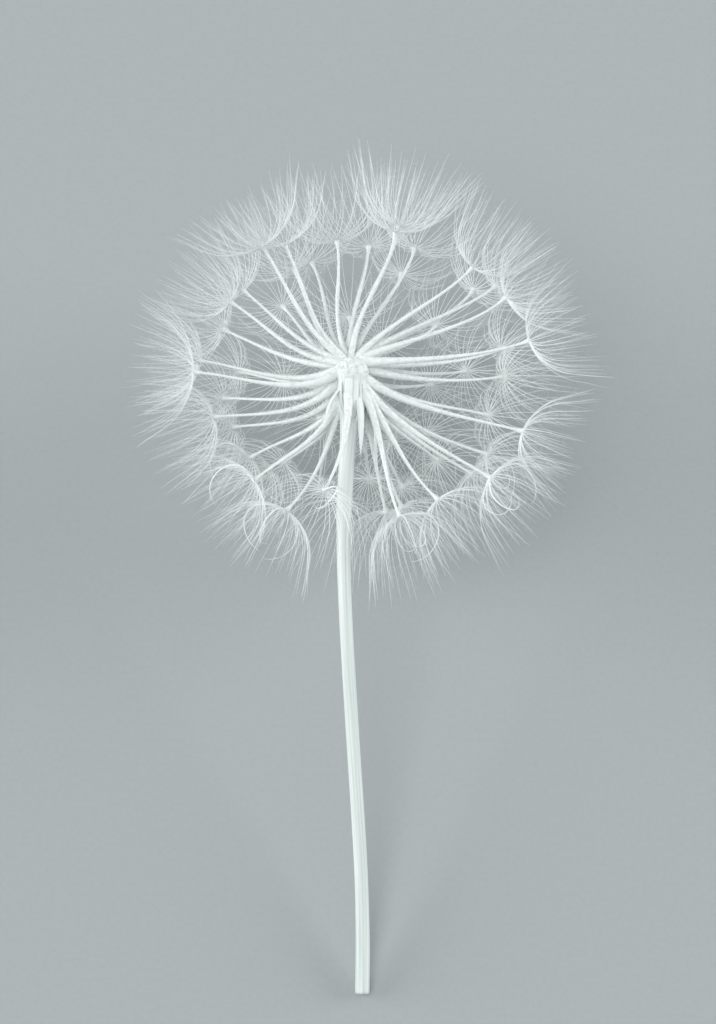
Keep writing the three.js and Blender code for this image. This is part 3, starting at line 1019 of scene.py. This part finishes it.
def stalk_ring(y, radius, ribs):
    """One ring of the stalk, with shallow ribs of the given share of its radius."""
    x, slope = stalk_middle(y)
    wide = Vector((1, -slope, 0)).normalized()
    ring = []
    for k in range(STALK_AROUND):
        turn = math.tau * k / STALK_AROUND
        rib = math.cos(RIBS * turn + RIB_WANDER * math.sin(RIB_WANDER_RATE * y))
        rib += FINE_RIB_SHARE * math.cos(FINE_RIBS * turn + FINE_RIB_TWIST * y)
        reach = radius * (1 + ribs * rib)
        side = wide * (reach * math.sin(turn))
        point = place(x + side.x, y + side.y, reach * math.cos(turn))
        point.z = max(point.z, 0)
        ring.append(point)
    return ring


def make_stalk(material):
    """The stalk, swollen below the head. Its cut end sinks in a little at the pith."""
    top = STALK_LINE[0][1]
    bottom = STALK_LINE[-1][1]
    rings = [stalk_ring(top + rise, radius, RIB_SHARE) for rise, radius in reversed(COLLAR_LIP)]
    for i in range(STALK_ROWS + 1):
        share = i / STALK_ROWS
        rings.append(stalk_ring(top + (bottom - top) * share, smooth_radius(share), RIB_SHARE))
    for sink, share in CUT_HOLLOW:
        rings.append(stalk_ring(bottom + sink, CUT_RADIUS * share, 0.0))
    return loft("stalk_skin", rings, material)


def smooth_radius(share):
    """The stalk's radius at a share of its length, its profile's corners rounded."""
    steps = (-PROFILE_EASE, 0, PROFILE_EASE)
    near = [value_at(STALK_PROFILE, min(max(share + step, 0), 1)) for step in steps]
    collar = COLLAR_FLARE * (1 - smoothstep(share, 0, COLLAR_SHARE))
    return sum(near) / len(near) + collar


BRACT_STEPS = 60
# A bract across: places in half widths and in thicknesses. It is a little hollow inside.
BRACT_SECTION = [
    (1, 0),
    (0.55, 0.75),
    (0, 1.1),
    (-0.55, 0.75),
    (-1, 0),
    (-0.55, -0.5),
    (0, -0.3),
    (0.55, -0.5),
]
BRACT_THICK = 0.24
BRACT_RAGGED = 0.07  # share by which a bract's edge strays
BRACT_TIP_WIDTH = 0.04  # least half width and thickness, as shares
BRACT_TIP_THICK = 0.12
SHRED_START = 0.25  # share of the length where a shred parts from the others
BRACT_DICE = 99
# The straps that a bract is torn into: each one's offset at the tip, and width and length as
# shares.
WHOLE = [(0, 1, 1)]
SHREDDED = [(0, 0.8, 1), (0.9, 0.3, 0.9), (-1.1, 0.22, 0.72)]
FRAYED = [(0, 1, 1), (1, 0.25, 0.8)]
PAPERY = [(0, 0.9, 0.85), (0.7, 0.35, 0.7)]
BRACT_HABITS = [WHOLE, PAPERY, SHREDDED, FRAYED, WHOLE, SHREDDED]
SKIRT_COUNT = 13  # short broad bracts pressed to the stalk below the cushion
SKIRT_START = math.radians(25)
SKIRT_STRAY = math.radians(9)
SKIRT_ROOT = (2.7, -0.7)  # from the stalk's axis and below the middle
SKIRT_HANG = math.radians(-6)
SKIRT_HANG_SPREAD = 0.4  # shares by which single ones differ
SKIRT_LENGTH = 11
SKIRT_LENGTH_SPREAD = 0.3
SKIRT_WIDTH = 1.05
SKIRT_WIDTH_SPREAD = 0.2
SKIRT_DRIFT = 0.6


def bract_rings(root, azimuth, hang, length, offset, width, reach, roll):
    """One strap of a bract: offset to its side at the tip, with a ragged edge."""
    rings = []
    out_way = Vector((math.cos(azimuth), 0, math.sin(azimuth)))
    side_way = Vector((-math.sin(azimuth), 0, math.cos(azimuth)))
    for i in range(BRACT_STEPS + 1):
        share = i / BRACT_STEPS
        run = share * length * reach
        bow = BRACT_BOW * math.sin(share * math.pi)
        out = root[0] + run * math.sin(hang) + bow
        down = root[1] - run * math.cos(hang)
        drift = offset * smoothstep(share, SHRED_START, 1)
        profile = value_at(BRACT_PROFILE, share)
        half = BRACT_HALF_WIDTH * width * max(profile, BRACT_TIP_WIDTH)
        left = half * (1 + BRACT_RAGGED * next(roll))
        right = half * (1 + BRACT_RAGGED * next(roll))
        ring = []
        for wide, thick in BRACT_SECTION:
            reach_out = wide * (right if wide > 0 else left)
            lift = thick * BRACT_THICK * max(profile, BRACT_TIP_THICK)
            spot = out_way * (out + lift) + side_way * (reach_out + drift)
            ring.append(place(spot.x, down, spot.z))
        rings.append(ring)
    return rings


def make_bracts(material):
    """The bracts that hang back along the stalk, some of them torn, and the pressed ones."""
    roll = dice(BRACT_DICE)
    straps = []
    for number, ((azimuth, hang, length), habit) in enumerate(zip(BRACTS, BRACT_HABITS)):
        for shred, (offset, width, reach) in enumerate(habit):
            name = f"bract_{number + 1}_{shred + 1}"
            rings = bract_rings(BRACT_ROOT, azimuth, hang, length, offset, width, reach, roll)
            straps.append(loft(name, rings, material))
    for k in range(SKIRT_COUNT):
        azimuth = SKIRT_START + math.tau * k / SKIRT_COUNT + SKIRT_STRAY * next(roll)
        hang = SKIRT_HANG * (1 + SKIRT_HANG_SPREAD * next(roll))
        length = SKIRT_LENGTH * (1 + SKIRT_LENGTH_SPREAD * next(roll))
        width = SKIRT_WIDTH * (1 + SKIRT_WIDTH_SPREAD * next(roll))
        drift = SKIRT_DRIFT * next(roll)
        rings = bract_rings(SKIRT_ROOT, azimuth, hang, length, drift, width, 1, roll)
        straps.append(loft(f"skirt_bract_{k + 1}", rings, material))
    return straps


# ---- Stage, light and camera ----

PHOTO_SIZE = (716, 1024)
PHOTO_RECEPTACLE = (352, 370)  # the receptacle's middle in the photograph
PIXEL = 0.215  # millimetres of the plant to a pixel of the photograph
LENS = 120
SENSOR = 36
VIEW_REACH = (0.01, 20)  # metres
FLOOR_HALF = 3.0  # metres from the middle to each side
# Name, direction, width in the sky, strength and colour of each light.
LIGHTS = [
    ("left light", (1, -0.15, -0.3), math.radians(35), 1.9, (0.97, 0.99, 1)),
    ("right light", (-1, -0.25, -0.3), math.radians(35), 1.9, (0.97, 0.99, 1)),
    ("top light", (0.35, 0.3, -1), math.radians(40), 1.3, (1, 1, 1)),
]
ROOM_COLOUR = (0.86, 0.9, 0.92, 1)
ROOM_STRENGTH = 0.55


def make_stage():
    """The plain floor that the plant lies on."""
    mesh = bpy.data.meshes.new("floor")
    half = FLOOR_HALF
    corners = [(-half, -half, 0), (half, -half, 0), (half, half, 0), (-half, half, 0)]
    mesh.from_pydata(corners, [], [(0, 1, 2, 3)])
    mesh.materials.append(floor_paint())
    floor = put_in("floor", mesh)


def wide_light(name, towards, softness, strength, colour):
    """An even soft light that shines one way from a wide part of the sky."""
    data = bpy.data.lights.new(name, "SUN")
    data.energy = strength
    data.angle = softness
    data.color = colour
    light = put_in(name, data)
    light.rotation_euler = Vector(towards).to_track_quat("-Z", "Y").to_euler()


def make_light():
    """Pale light from both sides, low down, and from above, in a pale room."""
    for light in LIGHTS:
        wide_light(*light)
    world = bpy.data.worlds.new("pale room")
    world.use_nodes = True
    sky = world.node_tree.nodes["Background"]
    sky.inputs["Color"].default_value = ROOM_COLOUR
    sky.inputs["Strength"].default_value = ROOM_STRENGTH
    bpy.context.scene.world = world


def make_camera():
    """Looks down square on the leaning plant, as the photograph looks at it upright."""
    middle_x = (PHOTO_SIZE[0] / 2 - PHOTO_RECEPTACLE[0]) * PIXEL
    middle_y = (PHOTO_RECEPTACLE[1] - PHOTO_SIZE[1] / 2) * PIXEL
    aim = place(middle_x, middle_y, 0)
    distance = LENS / SENSOR * PHOTO_SIZE[1] * PIXEL
    data = bpy.data.cameras.new("camera")
    data.lens = LENS
    data.sensor_width = SENSOR
    data.clip_start, data.clip_end = VIEW_REACH
    camera = put_in("camera", data)
    camera.location = (aim + LYING @ Vector((0, 0, distance))) * MM
    camera.rotation_euler = LYING.to_euler()
    bpy.context.scene.camera = camera


# ---- Everything together ----


def finish_piece(piece, node):
    """A piece rides on the one body and stands for its solid."""
    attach(piece, "root")
    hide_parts(node)


def main():
    """The camera and the stage, then every piece of the plant."""
    make_camera()
    make_stage()
    make_light()
    for piece in make_head(seed_paint(), silk_paint()):
        finish_piece(piece, "seed_head")
    finish_piece(make_stalk(stalk_paint()), "stalk")
    for strap in make_bracts(bract_paint()):
        finish_piece(strap, "stalk")
    bpy.context.scene.view_settings.view_transform = "Standard"


main()
